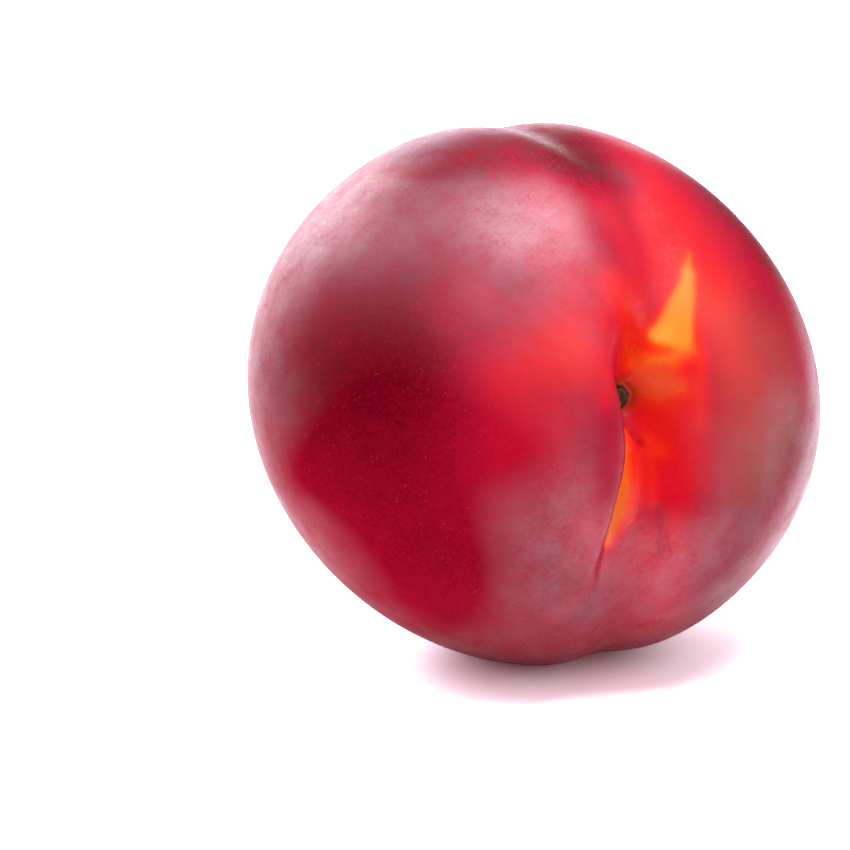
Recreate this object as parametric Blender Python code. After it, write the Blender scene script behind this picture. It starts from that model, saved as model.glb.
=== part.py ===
"""A whole ripe nectarine lying on its side, as one closed solid.

The stem end looks along -Y and a little upwards, the blossom tip points to +Y,
and the two cheeks are at -X and +X. The suture is the groove between the cheeks:
it comes over the top, drops into the stem cavity and goes on below it to the
underside. The fruit rests on a small flat spot in the plane z = 0.

Each point of the skin is worked out in the fruit's own axes: across (towards the
+X cheek), up (along the suture) and out (along the stem axis, away from the stone).
"""

import bmesh
import bpy
import numpy as np

MM = 0.001

# The plain body, before any groove is pressed into it: half its size along each axis.
CHEEK = 35.9 * MM
HEIGHT = 34.5 * MM
STEM_END = 33.4 * MM
TIP_END = 33.5 * MM
SQUARENESS = 2.04  # 2 is an ellipsoid, more has fuller shoulders
LEAN = 0.079  # how far the top leans towards -X, per unit of height
STEM_TILT = np.radians(11.0)  # the stem axis above the horizontal
FLAT_CUT = 0.7 * MM  # depth of the flat spot that it rests on

# No fruit is quite round: how much it bulges at three and at four places round the stem
# axis, as a share of its girth, and the direction of one of those places.
THREE_BULGES = 0.003
THREE_TURNED = np.radians(-14)
FOUR_BULGES = 0.0055
FOUR_TURNED = np.radians(-9.5)

# The suture. Below the stem its left side stands steep, where the left cheek folds over it,
# and its right side slopes gently up the other cheek. At each angle round the stone, from
# the stem (0) over the top (90) and below (-90) to the blossom tip (180): how far across
# the steep side stands, how deep the groove is, and how wide its steep side, its floor and
# its easy side are. In degrees and mm.
SUTURE = np.array(
    [
        (-180, 0.0, 1.0, 4.5, 0.0, 6.0),
        (-120, 0.0, 1.4, 4.5, 0.0, 6.5),
        (-90, -1.0, 1.7, 4.0, 0.0, 6.5),
        (-63, -3.8, 2.0, 2.8, 0.5, 6.5),
        (-48, -6.6, 2.4, 1.9, 1.0, 6.5),
        (-36, -6.9, 3.2, 1.0, 2.0, 6.0),
        (-22, -5.2, 4.8, 0.8, 3.0, 6.0),
        (-10, -3.3, 6.0, 1.0, 2.6, 6.0),
        (0, -3.1, 6.4, 1.1, 2.2, 6.0),
        (8, -3.2, 5.9, 1.4, 2.0, 6.5),
        (14, -1.6, 4.6, 2.6, 1.5, 7.5),
        (22, 0.6, 3.0, 3.4, 1.0, 8.0),
        (35, 2.8, 2.2, 3.6, 0.5, 7.5),
        (50, 3.0, 1.8, 3.4, 0.0, 6.5),
        (65, 1.2, 1.8, 3.8, 0.0, 6.5),
        (90, -2.0, 1.7, 4.2, 0.0, 6.5),
        (120, -1.0, 1.4, 4.5, 0.0, 6.5),
        (180, 0.0, 1.0, 4.5, 0.0, 6.0),
    ]
)

# The pit that the stem grew out of, at the bottom of the suture.
PIT_ACROSS = -1.2 * MM
PIT_DEPTH = 1.3 * MM
PIT_WIDTH = 2.0 * MM

# The blossom end: a low point in a shallow dimple.
TIP_POINT = 1.6 * MM
TIP_WIDTH = 4.5 * MM

SEGMENTS = 96
RINGS = 62
CROWDING = 0.45  # 0 spaces the rings evenly, more crowds them at the stem


def bell(distance, width):
    """1 at no distance, falling smoothly to 0 past the width."""
    return np.exp(-((distance / width) ** 2))


def step(distance, width):
    """0 well before no distance, 1 well past it, changing over the width."""
    return 0.5 + 0.5 * np.tanh(distance / width)


def blend(low, high, share):
    return low + (high - low) * share


def plain_body(ways):
    """Points of the body without grooves, for unit vectors (across, up, out)."""
    across, up, out = ways.T
    girth = np.hypot(across, up)
    round_stem = np.arctan2(up, across)
    bulge = THREE_BULGES * np.cos(3 * (round_stem - THREE_TURNED))
    bulge += FOUR_BULGES * np.cos(4 * (round_stem - FOUR_TURNED))
    full = (girth**SQUARENESS + np.abs(out) ** SQUARENESS) ** (-1 / SQUARENESS)
    full *= 1 + bulge * girth**2
    length = blend(TIP_END, STEM_END, (1 + out) / 2)
    return np.stack([CHEEK * across, HEIGHT * up, length * out], 1) * full[:, None]


def drawn(places, values, at):
    """A smooth line through the values at the places, read off at each point."""
    lean = np.gradient(values, places)
    k = np.clip(np.searchsorted(places, at) - 1, 0, len(places) - 2)
    gap = places[k + 1] - places[k]
    t = (at - places[k]) / gap
    ends = blend(values[k], values[k + 1], t * t * (3 - 2 * t))
    return ends + gap * t * (1 - t) * blend(lean[k], -lean[k + 1], t)


def pressed_in(points):
    """How deep the suture and the pit press the skin in at each point of the body."""
    across, up, out = points.T
    turn = np.degrees(np.arctan2(up, out))
    line, depth, steep, floor, easy = (
        drawn(SUTURE[:, 0], column, turn) * MM for column in SUTURE[:, 1:].T
    )
    side = across - line
    past_girth = np.maximum(np.abs(turn) - 90, 0)
    fade = np.cos(np.radians(past_girth)) ** 2
    suture = depth * fade * bell(np.maximum(side - floor, 0), easy)
    pit = PIT_DEPTH * bell(np.hypot(across - PIT_ACROSS, up), PIT_WIDTH) * (out > 0)
    return (suture + pit) * step(side, steep)


def skin(ways):
    """Points of the finished skin in the fruit's own axes."""
    points = plain_body(ways)
    depth = pressed_in(points)
    along_stem = bell(np.arccos(np.clip(ways[:, 2], -1, 1)), np.radians(40))
    inward = -ways * (1 - along_stem)[:, None]
    inward[:, 2] -= along_stem
    inward /= np.linalg.norm(inward, axis=1)[:, None]
    points = points + inward * depth[:, None]
    from_tip = np.hypot(points[:, 0], points[:, 1])
    behind = points[:, 2] < 0
    points[:, 2] -= np.where(behind, TIP_POINT * bell(from_tip, TIP_WIDTH), 0)
    return points


def laid_on_its_side(points):
    """From the fruit's own axes to world axes: X across, -Y out and Z up."""
    across, up, out = points.T
    return np.stack(
        [
            across - LEAN * up,
            up * np.sin(STEM_TILT) - out * np.cos(STEM_TILT),
            up * np.cos(STEM_TILT) + out * np.sin(STEM_TILT),
        ],
        1,
    )


def ways_of(sphere):
    """Unit vectors of a unit sphere, with its rings crowded towards the stem."""
    height = np.clip(sphere[:, 2], -1, 1)
    polar = np.arccos(height)
    round_axis = np.arctan2(sphere[:, 1], sphere[:, 0])
    polar -= CROWDING * np.sin(polar) * (1 + np.cos(polar)) / 2
    sine = np.sin(polar)
    return np.stack(
        [sine * np.cos(round_axis), sine * np.sin(round_axis), np.cos(polar)], 1
    )


def seated(points):
    """Centred over the origin, with FLAT_CUT of the underside below z = 0."""
    low, high = points.min(0), points.max(0)
    middle = (low + high) / 2
    return points - [middle[0], middle[1], low[2] + FLAT_CUT]


def cut_flat_spot(mesh):
    """Slices the underside off at z = 0 and closes the cut."""
    everything = mesh.verts[:] + mesh.edges[:] + mesh.faces[:]
    bmesh.ops.bisect_plane(
        mesh, geom=everything, plane_co=(0, 0, 0), plane_no=(0, 0, -1), clear_outer=True
    )
    rim = [edge for edge in mesh.edges if edge.is_boundary]
    bmesh.ops.holes_fill(mesh, edges=rim, sides=0)


def nectarine_mesh():
    mesh = bmesh.new()
    bmesh.ops.create_uvsphere(mesh, u_segments=SEGMENTS, v_segments=RINGS, radius=1)
    sphere = np.array([vertex.co for vertex in mesh.verts])
    points = seated(laid_on_its_side(skin(ways_of(sphere))))
    for vertex, point in zip(mesh.verts, points):
        vertex.co = point
    cut_flat_spot(mesh)
    bmesh.ops.recalc_face_normals(mesh, faces=mesh.faces)
    data = bpy.data.meshes.new("nectarine")
    mesh.to_mesh(data)
    mesh.free()
    data.shade_smooth()
    data.set_sharp_from_angle(angle=np.radians(40))
    return data


def skin_material():
    material = bpy.data.materials.new("nectarine_skin")
    material.use_nodes = True
    surface = material.node_tree.nodes["Principled BSDF"]
    surface.inputs["Base Color"].default_value = (0.45, 0.02, 0.03, 1)
    surface.inputs["Roughness"].default_value = 0.38
    surface.inputs["Metallic"].default_value = 0.0
    return material


def main():
    for item in list(bpy.data.objects):
        bpy.data.objects.remove(item)
    nectarine = bpy.data.objects.new("nectarine", nectarine_mesh())
    nectarine.data.materials.append(skin_material())
    bpy.context.scene.collection.objects.link(nectarine)


if __name__ == "__main__":
    main()
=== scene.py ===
"""A whole ripe nectarine in a plain white studio.

The fruit lies on its side. Its stem end looks along -Y and a little upwards, the blossom
tip points to +Y, and the two cheeks are at -X (left) and +X (right). The suture is the
groove between the cheeks. Each point of the skin is worked out in the fruit's own axes:
across (towards the right cheek), up (along the suture) and out (along the stem axis, away
from the stone).

The shape comes first, then the amounts that are stored on the skin's points and colour
it, then the material that reads them, and last the studio.
"""

import bpy
import numpy as np
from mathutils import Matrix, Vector

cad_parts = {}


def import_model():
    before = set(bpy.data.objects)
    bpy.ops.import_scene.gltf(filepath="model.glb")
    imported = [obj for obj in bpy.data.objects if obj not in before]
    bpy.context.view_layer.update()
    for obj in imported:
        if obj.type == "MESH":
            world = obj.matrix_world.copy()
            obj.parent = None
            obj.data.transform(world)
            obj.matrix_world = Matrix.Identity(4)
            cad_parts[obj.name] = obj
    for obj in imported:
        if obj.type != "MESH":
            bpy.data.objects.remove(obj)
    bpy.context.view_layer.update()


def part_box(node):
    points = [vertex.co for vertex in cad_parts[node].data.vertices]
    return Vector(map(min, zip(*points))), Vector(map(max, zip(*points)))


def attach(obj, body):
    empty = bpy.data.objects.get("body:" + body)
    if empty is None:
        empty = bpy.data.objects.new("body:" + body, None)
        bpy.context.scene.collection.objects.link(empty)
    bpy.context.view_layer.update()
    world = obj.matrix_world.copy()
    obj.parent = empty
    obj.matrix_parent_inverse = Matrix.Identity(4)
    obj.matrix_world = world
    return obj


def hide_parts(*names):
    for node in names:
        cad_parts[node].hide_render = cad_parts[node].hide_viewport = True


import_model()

MM = 0.001

# ---------------------------------------------------------------- the fruit's shape

# From the middle out to each cheek, to the top and underside, and to the two ends.
CHEEK = 35.9 * MM
HEIGHT = 34.5 * MM
STEM_END = 33.4 * MM
TIP_END = 33.5 * MM
SQUARENESS = 2.04  # 2 would be an ellipsoid
LEAN = 0.079  # how far the top leans to the left, as a share of its height
STEM_TILT = np.radians(11.0)  # of the stem end above the level
FLAT_CUT = 0.7 * MM  # off the underside, so that the fruit stands

# Slight bulges round the stem axis, three and four to a turn: how high, as a share of the
# girth, and how far round the first one is.
THREE_BULGES = 0.003
THREE_TURNED = np.radians(-14)
FOUR_BULGES = 0.0055
FOUR_TURNED = np.radians(-9.5)

# The suture, at each angle round the stone from the stem (0) over the top (90) and
# below (-90) to the blossom tip (180): how far across its steep side stands, how deep it
# is, how wide the steep side, the floor and the easy side are. In degrees and mm.
SUTURE = np.array(
    [
        (-180, 0.0, 1.0, 4.5, 0.0, 6.0),
        (-120, 0.0, 1.4, 4.5, 0.0, 6.5),
        (-90, -1.0, 1.7, 4.0, 0.0, 6.5),
        (-63, -3.8, 2.0, 2.8, 0.5, 6.5),
        (-48, -6.6, 2.4, 1.9, 1.0, 6.5),
        (-36, -6.9, 3.2, 1.0, 2.0, 6.0),
        (-22, -5.2, 4.8, 0.8, 3.0, 6.0),
        (-10, -3.3, 6.0, 1.0, 2.6, 6.0),
        (0, -3.1, 6.4, 1.1, 2.2, 6.0),
        (8, -3.2, 5.9, 1.4, 2.0, 6.5),
        (14, -1.6, 4.6, 2.6, 1.5, 7.5),
        (22, 0.6, 3.0, 3.4, 1.0, 8.0),
        (35, 2.8, 2.2, 3.6, 0.5, 7.5),
        (50, 3.0, 1.8, 3.4, 0.0, 6.5),
        (65, 1.2, 1.8, 3.8, 0.0, 6.5),
        (90, -2.0, 1.7, 4.2, 0.0, 6.5),
        (120, -1.0, 1.4, 4.5, 0.0, 6.5),
        (180, 0.0, 1.0, 4.5, 0.0, 6.0),
    ]
)
PRESSED_ALONG_STEM = np.radians(40)  # within this of the stem, dents go along its axis

# The pit at the bottom of the suture, round the stem scar.
PIT_ACROSS = -1.2 * MM
PIT_DEPTH = 1.3 * MM
PIT_WIDTH = 2.0 * MM

# The stem scar: its middle as across and up, and its radius, in mm. Its rim wavers by
# waves: how many to a turn, how high as a share of the radius, and their start in radians.
SCAR_PLACE = (-1.6, 0.5)
SCAR_RADIUS = 1.7
SCAR_WAVES = ((3, 0.04, 1), (8, 0.03, 0))

# The scar's relief, ring by ring: how high in mm (or how deep, below 0), how far from the
# middle as a share of the radius, and how wide in mm.
SCAR_RELIEF = ((0.35, 0.72, 0.35), (-0.21, 0.0, 0.5), (-0.28, 1.15, 0.3))

# Small folds of the skin on the stem side: how deep (or how high, below 0), then a start
# and an end as across, up and half width, in mm.
FOLDS = (
    # the crease beside the bright sliver, and the sliver swelling between them
    (0.32, (-1.0, -3.0, 0.3), (0.4, -5.3, 0.4)),
    (0.16, (0.4, -5.3, 0.5), (0.2, -9, 0.5), (-0.9, -13.8, 0.6), (-3.7, -17, 0.6)),
    (-0.45, (-1.2, -6.0, 0.9), (-2.8, -14.0, 1.3)),
    (0.30, (1.4, -13.5, 0.7), (1.0, -19.0, 0.8)),  # second crease, to its right
    (-0.35, (-2.4, 3.4, 0.6), (0.0, 3.9, 0.7)),  # fold over the scar
    (-0.07, (2.4, 10.8, 0.35), (0.3, 6.4, 0.35)),  # fine folds above it
    (-0.07, (3.6, 10.2, 0.35), (1.2, 6.2, 0.35)),
    (-0.11, (-1.0, 32.2, 2.4), (3.4, 29.0, 2.6), (7.4, 22.5, 2.6)),  # crest on top
    (-0.04, (-5.5, 31.8, 0.5), (1.0, 29.6, 0.5)),  # fine fold beside it
)

# The blunt point at the blossom tip: how high it stands, and how wide it is.
TIP_POINT = 1.6 * MM
TIP_WIDTH = 4.5 * MM

# The skin's grid: rings from the stem to the tip and points to a ring, and how much
# closer they stand near the stem and where the suture runs.
RINGS = 270
SEGMENTS = 360
CLOSER_NEAR_STEM = 0.5
CLOSER_NEAR_SUTURE = 0.28

# Marks and folds on the stem side fade out past the widest ring, towards the tip.
MARKS_END = 5 * MM
MARKS_FADE = 6 * MM


def bell(distance, width):
    """1 at no distance, falling smoothly to 0 past the width."""
    return np.exp(-((distance / width) ** 2))


def step(distance, width):
    """0 well before no distance, 1 well past it, changing over the width."""
    return 0.5 + 0.5 * np.tanh(distance / width)


def mix(low, high, share):
    """Low at no share, high at a share of 1."""
    return low + (high - low) * share


def drawn(places, values, at):
    """A smooth line through the values at the places."""
    lean = np.gradient(values, places)
    k = np.clip(np.searchsorted(places, at) - 1, 0, len(places) - 2)
    gap = places[k + 1] - places[k]
    t = (at - places[k]) / gap
    ends = mix(values[k], values[k + 1], t * t * (3 - 2 * t))
    return ends + gap * t * (1 - t) * mix(lean[k], -lean[k + 1], t)


def plain_body(ways):
    """Points of the body without grooves, for unit vectors (across, up, out)."""
    across, up, out = ways.T
    girth = np.hypot(across, up)
    round_stem = np.arctan2(up, across)
    bulge = THREE_BULGES * np.cos(3 * (round_stem - THREE_TURNED))
    bulge += FOUR_BULGES * np.cos(4 * (round_stem - FOUR_TURNED))
    full = (girth**SQUARENESS + np.abs(out) ** SQUARENESS) ** (-1 / SQUARENESS)
    full *= 1 + bulge * girth**2
    length = mix(TIP_END, STEM_END, (1 + out) / 2)
    return np.stack([CHEEK * across, HEIGHT * up, length * out], 1) * full[:, None]


def mark(points, stops, edge=0.0):
    """1 along a mark on the stem side, and 0 past its half width.

    With no edge it falls off softly like a bell, else it is flat and falls over the edge.
    """
    places = points[:, :2] / MM
    strongest = np.zeros(len(points))
    for start, end in zip(stops, stops[1:]):
        a, b = np.array(start[:2]), np.array(end[:2])
        along = np.clip((places - a) @ (b - a) / ((b - a) @ (b - a)), 0, 1)
        away = np.linalg.norm(places - a - along[:, None] * (b - a), axis=1)
        width = mix(start[2], end[2], along)
        share = step(width - away, edge) if edge else bell(away, width)
        strongest = np.maximum(strongest, share)
    return strongest * step(points[:, 2] + MARKS_END, MARKS_FADE)


def from_scar(points):
    """How far from the middle of the stem scar, in mm across its face."""
    across, up = points[:, :2].T / MM
    across, up = across - SCAR_PLACE[0], up - SCAR_PLACE[1]
    round_it = np.arctan2(up, across)
    waves = [high * np.sin(count * round_it + start) for count, high, start in SCAR_WAVES]
    return np.hypot(across, up) / (1 + sum(waves))


def scar_relief(points):
    """How high the scar's rings stand, in metres."""
    away = from_scar(points)
    rings = [h * MM * bell(away - at * SCAR_RADIUS, width) for h, at, width in SCAR_RELIEF]
    return sum(rings) * (points[:, 2] > 0)


def pressed_in(points):
    """How deep the skin is pressed in at each point of the plain body."""
    across, up, out = points.T
    turn = np.degrees(np.arctan2(up, out))
    line, depth, steep, flat, easy = (
        drawn(SUTURE[:, 0], column, turn) * MM for column in SUTURE[:, 1:].T
    )
    side = across - line
    to_tip = np.maximum(np.abs(turn) - 90, 0)
    fade = np.cos(np.radians(to_tip)) ** 2
    suture = depth * fade * bell(np.maximum(side - flat, 0), easy)
    pit = PIT_DEPTH * bell(np.hypot(across - PIT_ACROSS, up), PIT_WIDTH) * (out > 0)
    folds = sum(depth * MM * mark(points, stops) for depth, *stops in FOLDS)
    return (suture + pit) * step(side, steep) + folds - scar_relief(points)


def skin_points(ways):
    """Points of the finished skin in the fruit's own axes."""
    points = plain_body(ways)
    depth = pressed_in(points)
    along_stem = bell(np.arccos(np.clip(ways[:, 2], -1, 1)), PRESSED_ALONG_STEM)
    inward = -ways * (1 - along_stem)[:, None]
    inward[:, 2] -= along_stem
    inward /= np.linalg.norm(inward, axis=1)[:, None]
    points = points + inward * depth[:, None]
    from_tip = np.hypot(points[:, 0], points[:, 1])
    behind = points[:, 2] < 0
    points[:, 2] -= np.where(behind, TIP_POINT * bell(from_tip, TIP_WIDTH), 0)
    return points


def laid_on_its_side(points):
    """From the fruit's own axes to world axes: X across, -Y out and Z up."""
    across, up, out = points.T
    return np.stack(
        [
            across - LEAN * up,
            up * np.sin(STEM_TILT) - out * np.cos(STEM_TILT),
            up * np.cos(STEM_TILT) + out * np.sin(STEM_TILT),
        ],
        1,
    )


def how_far_to_rest(points):
    """The move that sets the fruit in its node's box, sunk by the flat cut."""
    low, high = points.min(0), points.max(0)
    box_low, box_high = (np.array(corner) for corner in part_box("nectarine"))
    shift = (box_low + box_high) / 2 - (low + high) / 2
    shift[2] = -low[2] - FLAT_CUT
    return shift


def grid_ways():
    """Unit vectors to the rings, ring by ring, and then to the stem and the tip."""
    share = (np.arange(RINGS) + 0.5) / RINGS
    polar = np.pi * share
    polar -= CLOSER_NEAR_STEM * np.sin(polar) * (1 + np.cos(polar)) / 2
    turn = 2 * np.pi * np.arange(SEGMENTS) / SEGMENTS
    turn += CLOSER_NEAR_SUTURE * np.sin(2 * turn)
    polar, turn = np.meshgrid(polar, turn, indexing="ij")
    rings = np.stack(
        [np.sin(polar) * np.cos(turn), np.sin(polar) * np.sin(turn), np.cos(polar)], 2
    )
    return np.vstack([rings.reshape(-1, 3), [[0, 0, 1], [0, 0, -1]]])


def grid_faces():
    """Quads between the rings, and one fan at each pole."""
    faces = []
    for ring in range(RINGS - 1):
        for k in range(SEGMENTS):
            after = (k + 1) % SEGMENTS
            near, far = ring * SEGMENTS, (ring + 1) * SEGMENTS
            faces.append((near + k, far + k, far + after, near + after))
    stem, tip = RINGS * SEGMENTS, RINGS * SEGMENTS + 1
    last = (RINGS - 1) * SEGMENTS
    for k in range(SEGMENTS):
        after = (k + 1) % SEGMENTS
        faces.append((stem, k, after))
        faces.append((tip, last + after, last + k))
    return faces


# ---------------------------------------------------------------- the skin's colouring

# How far the skin has blushed: 0 is the yellow ground, 1 the darkest crimson. Some marks
# and patches also carry painted shade and painted light, as noted beside them. Marks on the
# stem side, as seen looking down the stem axis: amount, and a start and an end of the mark
# as across, up and half width, in mm.
BASE_BLUSH = 0.82
BLUSH_AND_SHADING_MARKS = (
    # the left cheek: deep crimson, and lighter red between it and the stem
    (+0.16, (-31, 5, 9), (-23, 7, 9)),
    (+0.06, (-29, -7, 6), (-26, -14, 6)),
    (-0.08, (-21, 12, 3), (-18, 14, 3)),
    (-0.27, (-17, 5, 5), (-11, 7, 5)),
    (-0.14, (-8, 14, 3.5), (-7, 5, 3)),
    (+0.07, (-13, 15.5, 2.2), (-9.5, 15, 2.5)),
    (-0.05, (-18, -8, 6), (-12, -6, 5)),
    (-0.08, (-19, -3, 3.5), (-13, -1, 3)),
    (+0.07, (-8.8, -6, 2), (-9, -4, 2)),
    # the dark band over its top: deep crimson, with painted shade added where the left shoulder
    # turns down into the suture
    (+0.12, (-28, 20, 9), (-14, 27, 7)),
    (+0.14, (-14, 34, 4), (6, 33, 4)),
    (+0.03, (-20, 26, 2.5), (-8, 30.4, 1.8), (-1, 29, 2)),
    (+0.17, (2, 29, 3.2), (6, 26, 2.5)),
    (+0.07, (6, 29.5, 2), (9, 27, 2)),
    # lighter along the suture, from the top down to the fold above the stem: painted light that
    # offsets the groove's own shade
    (-0.03, (-5, 24, 3), (-4, 15, 3)),
    (-0.12, (1.8, 23, 2), (2.2, 17, 1.8), (2, 13, 1.5)),
    (-0.14, (7, 20, 3), (5.5, 12, 3)),
    (-0.26, (-1.5, 14, 2.2), (1, 8, 3)),
    # the right cheek: bright red on top, darker along its far side and below
    (-0.20, (10, 25, 5), (13, 14, 6)),
    (-0.12, (10, 12, 4), (12, 4, 4)),
    (-0.05, (19, 5, 7), (16, 0, 6)),
    (+0.05, (20, 7, 5), (21, -6, 5)),
    (+0.12, (22, 24, 4), (27, 14, 3)),
    (+0.10, (14, -16, 7), (20, -8, 6)),
    # the belly, with light streaks below the sliver
    (+0.07, (-14, -12, 6), (-8, -22, 6)),
    (+0.06, (-17, -20, 8), (-10, -23, 5)),
    (-0.10, (-9.5, -15, 3), (-7, -19, 3)),
    (-0.07, (-5, -19, 1), (-11, -25, 1.2)),
    (-0.10, (1, -19, 4), (4, -27, 4)),
    (+0.08, (8, -24, 5), (14, -26, 5)),
)

# Patches with an amount of their own, each over those before it: the amount, how soft
# their edge is, and their stops.
BLUSH_AND_SHADING_PATCHES = (
    # red: the left rim of the suture, its floor, deep red below, and beside the orange
    (0.60, 0.9, (-4.0, 11, 0.7), (-5.3, 5.5, 0.9), (-6.2, 0.5, 0.7)),
    (0.44, 2.4, (-0.5, 11.5, 1.0), (0.3, 6, 2.0), (2.8, 0, 3.3), (3.2, -5, 2.2)),
    (0.44, 1.0, (1.0, -6.5, 0.8), (1.0, -10, 1.0), (0.8, -12, 0.9)),
    (0.60, 1.8, (4.2, -5.5, 1.8), (3.9, -10, 2.1), (2.6, -14, 1.4), (1.8, -17, 0.8)),
    (0.52, 0.8, (8.0, 5, 0.5), (7.0, 1, 0.7), (6.4, -3, 0.8)),
    (0.55, 0.7, (1.2, -1.7, 0.5), (2.6, -2.6, 0.6)),
    # orange beside and above the scar: the ground colour, painted lighter to stand for light
    # reaching into the pit's shade
    (0.41, 0.9, (-0.3, 7.6, 0.8), (0.6, 4, 1.3)),
    (0.34, 1.2, (0.8, 1.0, 0.6), (3.0, 1.6, 1.8), (4.8, 1.4, 1.3)),
    (0.23, 1.2, (2.6, 4.6, 0.9), (4.6, 4.7, 1.3), (6.2, 5.6, 1.2)),
    (0.30, 0.8, (9.9, 14.2, 0.5), (8.3, 11, 1.0), (7.4, 8, 0.9), (6.8, 6, 0.7)),
    # the golden wedge above the stem, its palest yellow partly a painted highlight of the top
    # light
    (0.20, 0.7, (10.9, 17.0, 0.2), (9.5, 14.6, 0.8)),
    (0.13, 0.6, (9.6, 14.6, 0.4), (8.2, 12.4, 1.1), (6.8, 10.4, 1.6), (5.6, 8.1, 2.0)),
    (0.10, 0.6, (5.0, 8.2, 0.8), (3.7, 7.3, 0.5)),
    (0.17, 0.6, (8.8, 12.4, 0.4), (7.2, 9.4, 0.6), (6.2, 6.6, 0.7)),
    (0.05, 0.8, (3.6, 7.7, 0.7), (4.4, 7.4, 0.8)),
    # the bright sliver below the scar, redder and then more golden towards its left edge: orange
    # ground, painted lighter where the sliver faces the light
    (0.43, 0.6, (-1.1, -3.4, 0.3), (-1.1, -7, 1.1), (-1.6, -10, 1.5),
        (-2.8, -13.4, 1.6), (-4.6, -16.8, 0.7)),
    (0.26, 0.4, (-1.4, -3.4, 0.25), (-2.4, -7, 0.8), (-2.9, -10, 1.0),
        (-3.8, -13.4, 1.1), (-5.2, -16.8, 0.6)),
    # a light fleck right of it, and the two creases, darkened with painted shade
    (0.41, 0.8, (0.9, -4.4, 0.5), (2.2, -6.4, 0.8)),
    (0.72, 0.3, (-1.1, -2.9, 0.12), (0.4, -5.4, 0.12)),
    (0.84, 0.8, (1.3, -13.8, 0.4), (1.0, -18.5, 0.6)),
)

# The same on the far side, round the blossom tip.
TIP_MARKS = (
    (-0.22, (-8, -3, 9), (5, 2, 9)),  # brighter red round the tip
    (-0.14, (-2, -6, 5), (2, 4, 5)),  # with some orange ground
    (+0.45, (0, 0, 1), (0.1, 0, 1)),  # the dark tip itself
    (+0.10, (-20, 12, 6), (0, 20, 7), (20, 10, 6)),  # crimson across the top of that side
    (-0.10, (12, -16, 6), (18, -5, 5)),
)

# Where the wax on the skin is glossy: 1, lowered by the marks, then set by the patches.
GLOSS_MARKS = (
    # the dark left cheek, down to the belly and up to its top
    (-1.0, (-28, 3, 11), (-17.5, -3.5, 6.5)),
    (-0.9, (-29, -5, 6), (-25, -12, 6), (-22, -18, 5.5), (-20.5, -25, 4)),
    (-0.65, (-31, -8, 6), (-29, -15, 6), (-26, -21, 5)),
    (-0.2, (-19, 24, 3.5), (-16, 17, 3.5)),
    # the suture and its rims
    (-1.0, (2, -2, 5), (2.8, -11.5, 4.2)),
    (-0.9, (-1, 10, 2), (0.5, 6, 2)),
    (-0.6, (1, 7, 3), (6, 6, 4)),
    (-0.6, (-2, -7, 1.2), (-4, -15, 1.2)),
    (-0.8, (-1.6, 3, 1.2), (-0.8, 3.4, 1.2)),
    (-0.6, (-4, 10, 1.5), (-5.5, 5, 1.8), (-6, 0, 1.8), (-6.5, -6, 2), (-7, -10, 2)),
    # the right cheek
    (-0.65, (12, 6, 5), (13, -12, 6)),
    (-0.6, (22, 15, 4), (23, 3, 4)),
)
GLOSS_PATCHES = (
    # the dark band over the left cheek, and a band down the right cheek
    (0.3, 1.0, (-16, 28.6, 0.8), (-9, 29.9, 1.4), (-2.6, 29.2, 1.3),
        (0.2, 26.6, 1.2), (1.6, 24.6, 0.5)),
    (0.35, 2.5, (24.5, 8, 0.5), (23.5, -3, 2.2), (20.5, -11, 3.2),
        (14.5, -18.5, 3), (8, -24, 1.5)),
)

# Where a pale lilac sheen is painted into the colour, partly a waxy bloom: painted reflection
# round the highlight on the left cheek, a lit ridge along the top and the floor's reflection
# underneath. And where the ground shows through as a tan, partly a painted warm sheen.
SHEEN_AND_BLOOM_MARKS = (
    (0.3, (-26, 20, 7), (-8, 26, 8)),
    (0.5, (-16, 12, 6), (-9, 10, 6)),
    (0.15, (-12, -28, 9), (10, -26, 8)),
    (2.4, (-17, 32.5, 1.6), (-10, 34.2, 1.6), (-5, 34.6, 1.4)),
)
TAN_AND_SHEEN_MARKS = ((0.65, (13, 8, 4.5), (13, 0, 4.5), (13, -9, 5)), (0.5, (20, 5, 4), (20, -5, 4)))

# Where light and dark dots stand out, in a band over the top of the left cheek.
STIPPLE_MARKS = (
    (0.9, (-12, 29.6, 1.8), (-8, 30.2, 1.6), (-3, 29.8, 2), (1, 26.5, 2)),
    (0.9, (1, 26.5, 2), (3, 22.5, 1.2)),
    (0.5, (3, 30, 3), (7, 26, 2.5)),
)

# The scar's colouring, in mm: how soft its edge is, how wide the dark rim and the hole in
# its middle are, where the rim runs as a share of the radius, and how far the skin browns.
# The dark rim and hole are partly painted shade in the scar's dips, and the browning beside
# it is partly painted shade of the pit.
SCAR_EDGE = 0.2
DARK_RIM = 0.45
DARK_RIM_AT = 0.85
DARK_HOLE = 0.6
BROWNED_AND_SHADED = 0.9

# How much longer than wide the streaks are that run from the stem to the tip.
STREAKS_DRAWN_OUT = 2.5


def marked(points, base, marks):
    """The base amount everywhere, raised or lowered by the marks."""
    amount = np.full(len(points), base)
    for strength, *stops in marks:
        amount += strength * mark(points, stops)
    return amount


def painted(points, amount, patches):
    """The amounts, set to each patch's own amount where it covers the skin."""
    for target, edge, *stops in patches:
        amount = mix(amount, target, mark(points, stops, edge))
    return amount


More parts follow.
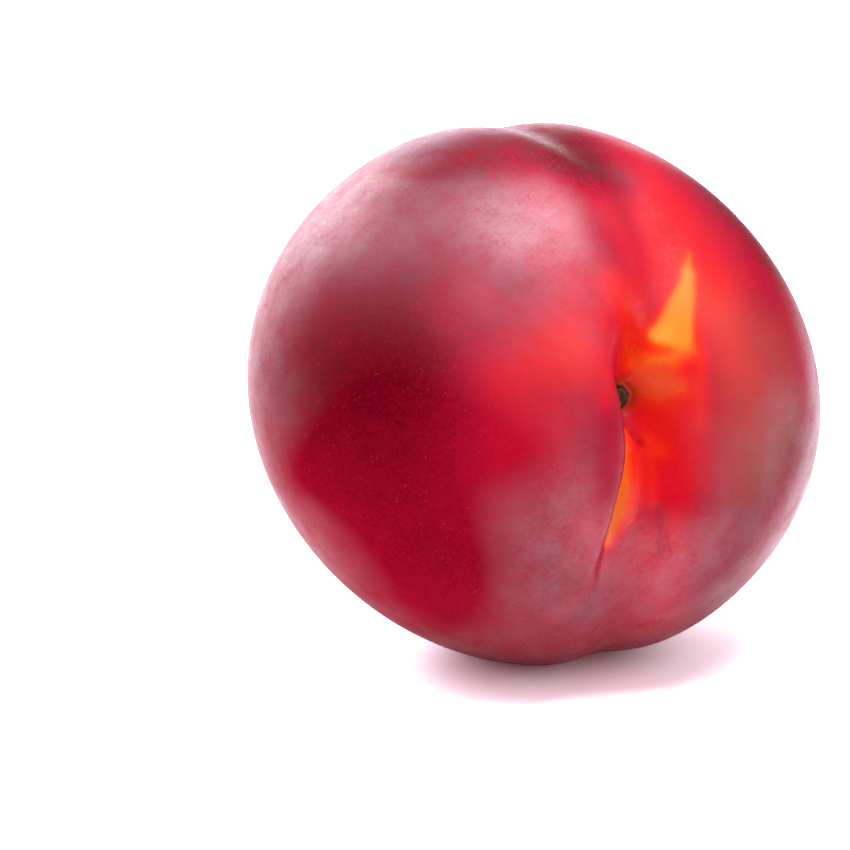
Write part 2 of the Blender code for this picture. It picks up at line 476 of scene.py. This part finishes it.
def scar_amounts(points):
    """1 on the round scar, on its dark rim and hole and where the skin browns beside it; the rim,
    hole and browning are partly painted shade.
    """
    away = from_scar(points)
    stem_side = points[:, 2] > 0
    rings = bell(away - DARK_RIM_AT * SCAR_RADIUS, DARK_RIM) + bell(away, DARK_HOLE)
    return {
        "scar": step(SCAR_RADIUS - away, SCAR_EDGE) * stem_side,
        "scar_rings_and_shade": np.clip(rings, 0, 1) * stem_side,
        "stain_and_pit_shade": bell(np.maximum(away - SCAR_RADIUS, 0), BROWNED_AND_SHADED) * stem_side,
    }


def skin_amounts(points):
    """Every amount that the skin's material reads, by name."""
    turned_about = points * (1, 1, -1)  # the far side, where marks are placed the same way
    blush_and_shading = marked(points, BASE_BLUSH, BLUSH_AND_SHADING_MARKS) + marked(turned_about, 0.0, TIP_MARKS)
    gloss = np.clip(marked(points, 1.0, GLOSS_MARKS), 0, 1)
    return {
        "blush_and_shading": painted(points, blush_and_shading, BLUSH_AND_SHADING_PATCHES),
        "gloss": painted(points, gloss, GLOSS_PATCHES),
        "sheen_and_bloom": marked(points, 0.0, SHEEN_AND_BLOOM_MARKS),
        "tan_and_sheen": marked(points, 0.0, TAN_AND_SHEEN_MARKS),
        "stipple": marked(points, 0.0, STIPPLE_MARKS),
        **scar_amounts(points),
    }


def meridians(ways):
    """Places for the streaks' noise, which change fast round the stem and slowly away from it."""
    sideways = ways[:, :2]
    tiny = 1e-9  # so that the two poles don't divide by nothing
    round_stem = sideways / np.linalg.norm(sideways + tiny, axis=1)[:, None]
    from_stem = np.arccos(ways[:, 2].clip(-1, 1))
    return np.column_stack([round_stem, from_stem / STREAKS_DRAWN_OUT])


def nectarine_piece():
    """The whole fruit as one closed mesh, and how far it was moved to rest on the floor."""
    ways = grid_ways()
    fruit_points = skin_points(ways)
    points = laid_on_its_side(fruit_points)
    shift = how_far_to_rest(points)
    points += shift
    points[:, 2] = np.maximum(points[:, 2], 0)
    mesh = bpy.data.meshes.new("nectarine_skin")
    mesh.from_pydata(points.tolist(), [], grid_faces())
    mesh.shade_smooth()
    for name, amounts in skin_amounts(fruit_points).items():
        mesh.attributes.new(name, "FLOAT", "POINT").data.foreach_set("value", amounts)
    lines = mesh.attributes.new("meridians", "FLOAT_VECTOR", "POINT")
    lines.data.foreach_set("vector", meridians(ways).astype(np.float32).ravel())
    piece = bpy.data.objects.new("nectarine_fruit", mesh)
    bpy.context.scene.collection.objects.link(piece)
    return piece, Vector(shift)


# ---------------------------------------------------------------- materials


class Shades:
    """Short ways to add and join shader nodes in one tree."""

    def __init__(self, tree):
        self.tree = tree

    def node(self, kind, **settings):
        """A new node of the kind, with the settings."""
        made = self.tree.nodes.new(kind)
        for name, value in settings.items():
            setattr(made, name, value)
        return made

    def join(self, value, socket):
        """Links another node's output to the socket, or sets the socket to the value."""
        if hasattr(value, "is_output"):
            self.tree.links.new(value, socket)
        else:
            socket.default_value = value

    def stored(self, name):
        """The amount stored on the piece's points under the name."""
        return self.node("ShaderNodeAttribute", attribute_name=name).outputs["Fac"]

    def math(self, operation, *values):
        """The operation done on the values."""
        made = self.node("ShaderNodeMath", operation=operation)
        for value, socket in zip(values, made.inputs):
            self.join(value, socket)
        return made.outputs["Value"]

    def spread(self, value, low, high, to_low=0.0, to_high=1.0):
        """The value moved from one range to another, eased at both ends."""
        made = self.node("ShaderNodeMapRange", interpolation_type="SMOOTHSTEP")
        for given, socket in zip((value, low, high, to_low, to_high), made.inputs):
            self.join(given, socket)
        return made.outputs["Result"]

    def blend(self, share, low, high):
        """The low colour at no share, the high one at a share of 1."""
        made = self.node("ShaderNodeMix", data_type="RGBA")
        self.join(share, made.inputs["Factor"])
        self.join(low, made.inputs["A"])
        self.join(high, made.inputs["B"])
        return made.outputs["Result"]

    def ramp(self, value, stops):
        """The colour that the stops, as place and colour, give the value."""
        made = self.node("ShaderNodeValToRGB")
        band = made.color_ramp
        while len(band.elements) < len(stops):
            band.elements.new(0.5)
        for element, (place, colour) in zip(band.elements, stops):
            element.position = place
            element.color = (*colour, 1)
        self.join(value, made.inputs["Fac"])
        return made.outputs["Color"]

    def noise(self, place, scale, detail, roughness):
        """Noise from 0 to 1, mostly near a half."""
        made = self.node("ShaderNodeTexNoise")
        self.join(place, made.inputs["Vector"])
        self.join(scale, made.inputs["Scale"])
        self.join(detail, made.inputs["Detail"])
        self.join(roughness, made.inputs["Roughness"])
        return made.outputs["Fac"]


# The skin from the yellow ground to the darkest crimson, by how far it has blushed, an amount
# that also carries painted shade and light.
BLUSH_COLOURS = (
    (0.00, (0.92, 0.44, 0.06)),
    (0.16, (0.95, 0.28, 0.018)),
    (0.32, (0.95, 0.10, 0.008)),
    (0.44, (0.95, 0.025, 0.008)),
    (0.56, (0.85, 0.008, 0.014)),
    (0.68, (0.66, 0.006, 0.027)),
    (0.82, (0.44, 0.004, 0.029)),
    (0.93, (0.27, 0.002, 0.016)),
    (1.00, (0.17, 0.001, 0.009)),
)
# a warm tan: partly the ground showing through, partly a painted sheen on the right cheek
WARM_TAN_AND_SHEEN = (0.8, 0.34, 0.16, 1)
PALE_PORE = (0.9, 0.42, 0.4, 1)
# the lilac of the painted sheen, partly a waxy bloom
LILAC_SHEEN_AND_BLOOM = (0.5, 0.3, 0.38, 1)
BROWN_STAIN_AND_SHADE = (0.34, 0.09, 0.005, 1)
DARK_WOOD = (0.09, 0.036, 0.012, 1)
LIGHT_WOOD = (0.32, 0.17, 0.06, 1)
BLACK_WOOD_AND_SHADE = (0.016, 0.006, 0.003, 1)

# How much of each colour shows where its amount is 1.
TAN_AND_SHEEN_SHOWS = 0.2
PORES_SHOW = 0.04
SHEEN_AND_BLOOM_SHOWS = 0.2
SHEEN_AND_BLOOM_STREAKED = 2
STAIN_AND_SHADE_SHOWS = 0.45

# The noise of each texture: its cells to a metre (for the streaks, to a radian round the
# stem), how many finer layers it has, and how strong those are.
GRAIN = (2300, 3.0, 0.65)
MOTTLING = (260, 4.0, 0.6)
STREAKS = (14, 4.0, 0.6)
PORE_CROWDS = (500, 1.0, 0.5)

# Pores to a metre, between which values of their noise they grow, and from what size to
# what size, as shares of a cell.
PORES = 1400
PORES_GROW = (0.42, 0.7)
PORE_SIZES = (0.03, 0.2)

# The mottling and the streaks join the grain by these shares, and together they shift the
# blush: everywhere, more where it is red, and more again where the skin is stippled.
MOTTLING_SHARE = 0.3
STREAKS_SHARE = 0.25
UNEVEN = 0.09
UNEVEN_IF_RED = 0.16
UNEVEN_IF_STIPPLED = 0.4

# The wax: how much of it, and how unevenly it lies, everywhere and where it is stippled.
WAX = 0.98
WAX_UNEVEN = 1.5
WAX_UNEVEN_IF_STIPPLED = 2.5
WAX_ROUGHNESS = 0.38
WAX_IOR = 1.6
SKIN_ROUGHNESS = 0.44
RELIEF = 0.03 * MM
WOOD_GRAIN = 0.2  # how far the grain swings between dark and light wood


def stipple_group():
    """Fine grain, mottling and pale pores of the skin, and streaks running from the stem.

    All but the pores swing evenly round 0, and the pores are 0 or 1.
    """
    tree = bpy.data.node_groups.new("skin_stipple", "ShaderNodeTree")
    for name in ("Grain", "Mottling", "Streaks", "Pores"):
        tree.interface.new_socket(name, in_out="OUTPUT", socket_type="NodeSocketFloat")
    shades = Shades(tree)
    place = shades.node("ShaderNodeTexCoord").outputs["Object"]
    along = shades.node("ShaderNodeAttribute", attribute_name="meridians").outputs["Vector"]
    cells = shades.node("ShaderNodeTexVoronoi", feature="F1")
    shades.join(place, cells.inputs["Vector"])
    shades.join(PORES, cells.inputs["Scale"])
    reach = shades.spread(shades.noise(place, *PORE_CROWDS), *PORES_GROW, *PORE_SIZES)
    made = {
        "Grain": shades.noise(place, *GRAIN),
        "Mottling": shades.noise(place, *MOTTLING),
        "Streaks": shades.noise(along, *STREAKS),
        "Pores": shades.math("LESS_THAN", cells.outputs["Distance"], reach),
    }
    out = shades.node("NodeGroupOutput")
    for name, value in made.items():
        centred = value if name == "Pores" else shades.math("SUBTRACT", value, 0.5)
        shades.join(centred, out.inputs[name])
    return tree


def skin_colour(shades, stipple):
    """The blush with its painted shading, the tan with a painted warm sheen, pores, a painted
    lilac sheen with bloom, and the stain with painted shade beside the scar.
    """
    blush_and_shading = shades.stored("blush_and_shading")
    uneven = shades.math("MULTIPLY_ADD", stipple["Mottling"], MOTTLING_SHARE, stipple["Grain"])
    uneven = shades.math("MULTIPLY_ADD", stipple["Streaks"], STREAKS_SHARE, uneven)
    strength = shades.math("MULTIPLY_ADD", blush_and_shading, UNEVEN_IF_RED, UNEVEN)
    dots = shades.stored("stipple")
    strength = shades.math("MULTIPLY_ADD", dots, UNEVEN_IF_STIPPLED, strength)
    amount = shades.math("MULTIPLY_ADD", uneven, strength, blush_and_shading)
    colour = shades.ramp(amount, BLUSH_COLOURS)
    # the tan on the right cheek, partly a painted warm sheen
    tan_and_sheen = shades.math("MULTIPLY", shades.stored("tan_and_sheen"), TAN_AND_SHEEN_SHOWS)
    colour = shades.blend(tan_and_sheen, colour, WARM_TAN_AND_SHEEN)
    pores = shades.math("MULTIPLY", stipple["Pores"], PORES_SHOW)
    colour = shades.blend(pores, colour, PALE_PORE)
    # a lilac sheen painted into the colour, partly a waxy bloom
    sheen_and_bloom = shades.math("MULTIPLY", shades.stored("sheen_and_bloom"), SHEEN_AND_BLOOM_SHOWS)
    swing = shades.math("MULTIPLY", sheen_and_bloom, SHEEN_AND_BLOOM_STREAKED)
    sheen_and_bloom = shades.math("MULTIPLY_ADD", stipple["Streaks"], swing, sheen_and_bloom)
    colour = shades.blend(sheen_and_bloom, colour, LILAC_SHEEN_AND_BLOOM)
    # browning beside the scar, partly painted shade of the pit
    stain_and_pit_shade = shades.math("MULTIPLY", shades.stored("stain_and_pit_shade"), STAIN_AND_SHADE_SHOWS)
    return shades.blend(stain_and_pit_shade, colour, BROWN_STAIN_AND_SHADE)


def scar_colour(shades, stipple):
    """Grained wood with a nearly black rim and hole, partly painted shade in the scar's dips."""
    woody = shades.spread(stipple["Grain"], -WOOD_GRAIN, WOOD_GRAIN)
    wood = shades.blend(woody, DARK_WOOD, LIGHT_WOOD)
    return shades.blend(shades.stored("scar_rings_and_shade"), wood, BLACK_WOOD_AND_SHADE)


def waxed(shades, stipple):
    """How much wax lies on the skin."""
    uneven = shades.math("ADD", stipple["Grain"], stipple["Mottling"])
    dots = shades.stored("stipple")
    strength = shades.math("MULTIPLY_ADD", dots, WAX_UNEVEN_IF_STIPPLED, WAX_UNEVEN)
    wax = shades.math("MULTIPLY_ADD", uneven, strength, WAX)
    return shades.math("MULTIPLY", shades.stored("gloss"), wax)


def skin_material():
    """Matt coloured skin under an uneven coat of wax."""
    material = bpy.data.materials.new("nectarine_skin")
    material.use_nodes = True
    tree = material.node_tree
    shades = Shades(tree)
    surface = tree.nodes["Principled BSDF"].inputs
    stipple = shades.node("ShaderNodeGroup", node_tree=stipple_group()).outputs
    skin, wood = skin_colour(shades, stipple), scar_colour(shades, stipple)
    shades.join(shades.blend(shades.stored("scar"), skin, wood), surface["Base Color"])
    surface["Roughness"].default_value = SKIN_ROUGHNESS
    surface["Specular IOR Level"].default_value = 0.0
    shades.join(waxed(shades, stipple), surface["Coat Weight"])
    surface["Coat Roughness"].default_value = WAX_ROUGHNESS
    surface["Coat IOR"].default_value = WAX_IOR
    relief = shades.node("ShaderNodeBump")
    height = shades.math("ADD", stipple["Grain"], stipple["Mottling"])
    shades.join(height, relief.inputs["Height"])
    relief.inputs["Distance"].default_value = RELIEF
    shades.join(relief.outputs["Normal"], surface["Normal"])
    return material


# ---------------------------------------------------------------- studio

VIEW_AZIMUTH = np.radians(-26)
VIEW_ELEVATION = np.radians(14)
VIEW_DISTANCE = 0.5
SHOWN_WIDTH = 107.05 * MM  # what the camera takes in from side to side, at the fruit
FRUIT_RIGHT = 13.66 * MM  # of the middle of the view
FRUIT_ABOVE = 4.07 * MM

FLOOR_SIDE = 6.0
PALE_GREY = (0.82, 0.82, 0.82, 1)
FLOOR_ROUGHNESS = 0.6
FLOOR_GLOSS = 0.1
BRIGHT_WHITE = (2.6, 3.2, 3.3, 1)
# a faint rosy glow painted into the floor, warming the shadow as the fruit's bounced red light
# would
ROSY_GLOW = (0.075, 0.015, 0.02, 1)
FLOOR_IN_WAX = 0.3  # how much of the bright floor the skin mirrors
ONE_BOUNCE = 1.5  # between the depth of a ray that bounced once and one that did twice

# The world's light: what the wax mirrors of it, and how much more falls on matt surfaces.
WORLD_IN_WAX = 0.1
WORLD_ON_MATT = 0.2
WHITE = (1, 1, 1, 1)

# The soft lights: their place, width and height in metres, and their power in watts.
ROSY_WHITE = (1.0, 0.93, 1.04)
LIGHTS_AIM = (0, 0, 0.033)  # the middle of the fruit
SOFTBOXES = {
    "top_light": ((0.0, -0.10, 0.60), 0.38, 0.40, 3.8),
    "upper_left_light": ((-0.27, 0.25, 0.56), 0.40, 0.46, 1.3),
    "left_back_light": ((-0.22, 0.70, 0.42), 0.5, 0.34, 2.7),
    "backdrop_light": ((0.0, 0.85, 0.17), 1.3, 0.34, 3.6),
    "front_light": ((0.35, -0.55, 0.45), 0.50, 0.50, 0.7),
}


def camera(fruit_centre):
    """A long lens a little above the fruit, which stands right of the view's middle."""
    back = Vector(
        (
            np.sin(VIEW_AZIMUTH) * np.cos(VIEW_ELEVATION),
            -np.cos(VIEW_AZIMUTH) * np.cos(VIEW_ELEVATION),
            np.sin(VIEW_ELEVATION),
        )
    )
    right = Vector((np.cos(VIEW_AZIMUTH), np.sin(VIEW_AZIMUTH), 0))
    above = back.cross(right)
    data = bpy.data.cameras.new("camera")
    data.lens = data.sensor_width * VIEW_DISTANCE / SHOWN_WIDTH
    eye = bpy.data.objects.new("camera", data)
    eye.location = fruit_centre + back * VIEW_DISTANCE
    aim = fruit_centre - right * FRUIT_RIGHT - above * FRUIT_ABOVE
    eye.rotation_mode = "QUATERNION"
    eye.rotation_quaternion = (aim - eye.location).to_track_quat("-Z", "Y")
    bpy.context.scene.collection.objects.link(eye)
    bpy.context.scene.camera = eye


def floor_material():
    """Pale grey, and bright white to the eye and, more weakly, in the fruit's gloss, with a faint
    painted rosy glow that warms the shadow.
    """
    material = bpy.data.materials.new("white_floor")
    material.use_nodes = True
    nodes = material.node_tree.nodes
    grey = nodes["Principled BSDF"]
    grey.inputs["Base Color"].default_value = PALE_GREY
    grey.inputs["Roughness"].default_value = FLOOR_ROUGHNESS
    grey.inputs["Specular IOR Level"].default_value = FLOOR_GLOSS
    shades = Shades(material.node_tree)
    rays = shades.node("ShaderNodeLightPath").outputs
    direct = shades.math("LESS_THAN", rays["Ray Depth"], ONE_BOUNCE)
    mirrored = shades.math("MULTIPLY", rays["Is Glossy Ray"], direct)
    mirrored = shades.math("MULTIPLY", mirrored, FLOOR_IN_WAX)
    seen = shades.math("MAXIMUM", rays["Is Camera Ray"], mirrored)
    bright = shades.node("ShaderNodeBsdfDiffuse")
    bright.inputs["Color"].default_value = BRIGHT_WHITE
    # the painted rosy glow
    glow = shades.node("ShaderNodeEmission")
    glow.inputs["Color"].default_value = ROSY_GLOW
    white = shades.node("ShaderNodeAddShader")
    shades.join(bright.outputs["BSDF"], white.inputs[0])
    shades.join(glow.outputs["Emission"], white.inputs[1])
    both = shades.node("ShaderNodeMixShader")
    shades.join(seen, both.inputs["Fac"])
    shades.join(grey.outputs["BSDF"], both.inputs[1])
    shades.join(white.outputs["Shader"], both.inputs[2])
    shades.join(both.outputs["Shader"], nodes["Material Output"].inputs["Surface"])
    return material


def floor():
    """A wide level square under the fruit."""
    mesh = bpy.data.meshes.new("floor")
    half = FLOOR_SIDE / 2
    corners = [(-half, -half, 0), (half, -half, 0), (half, half, 0), (-half, half, 0)]
    mesh.from_pydata(corners, [], [(0, 1, 2, 3)])
    mesh.materials.append(floor_material())
    piece = bpy.data.objects.new("floor", mesh)
    bpy.context.scene.collection.objects.link(piece)


def softbox(name, place, width, height, power):
    """A rectangular soft light that faces the fruit."""
    data = bpy.data.lights.new(name, "AREA")
    data.shape = "RECTANGLE"
    data.size = width
    data.size_y = height
    data.energy = power
    data.color = ROSY_WHITE
    lamp = bpy.data.objects.new(name, data)
    lamp.location = place
    lamp.rotation_mode = "QUATERNION"
    lamp.rotation_quaternion = (Vector(LIGHTS_AIM) - Vector(place)).to_track_quat("-Z", "Y")
    bpy.context.scene.collection.objects.link(lamp)


def world():
    """White to look at, a soft light all round, and dim where the skin mirrors it."""
    surroundings = bpy.data.worlds.new("studio")
    surroundings.use_nodes = True
    tree = surroundings.node_tree
    shades = Shades(tree)
    rays = shades.node("ShaderNodeLightPath").outputs
    strength = shades.math("MULTIPLY_ADD", rays["Is Diffuse Ray"], WORLD_ON_MATT, WORLD_IN_WAX)
    strength = shades.math("MAXIMUM", strength, rays["Is Camera Ray"])
    shades.join(strength, tree.nodes["Background"].inputs["Strength"])
    tree.nodes["Background"].inputs["Color"].default_value = WHITE
    bpy.context.scene.world = surroundings


def studio(fruit_centre):
    """Everything round the fruit."""
    camera(fruit_centre)
    floor()
    world()
    for name, (place, width, height, power) in SOFTBOXES.items():
        softbox(name, place, width, height, power)
    bpy.context.scene.view_settings.view_transform = "Standard"


fruit, fruit_centre = nectarine_piece()
fruit.data.materials.append(skin_material())
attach(fruit, "root")
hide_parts("nectarine")
studio(fruit_centre)
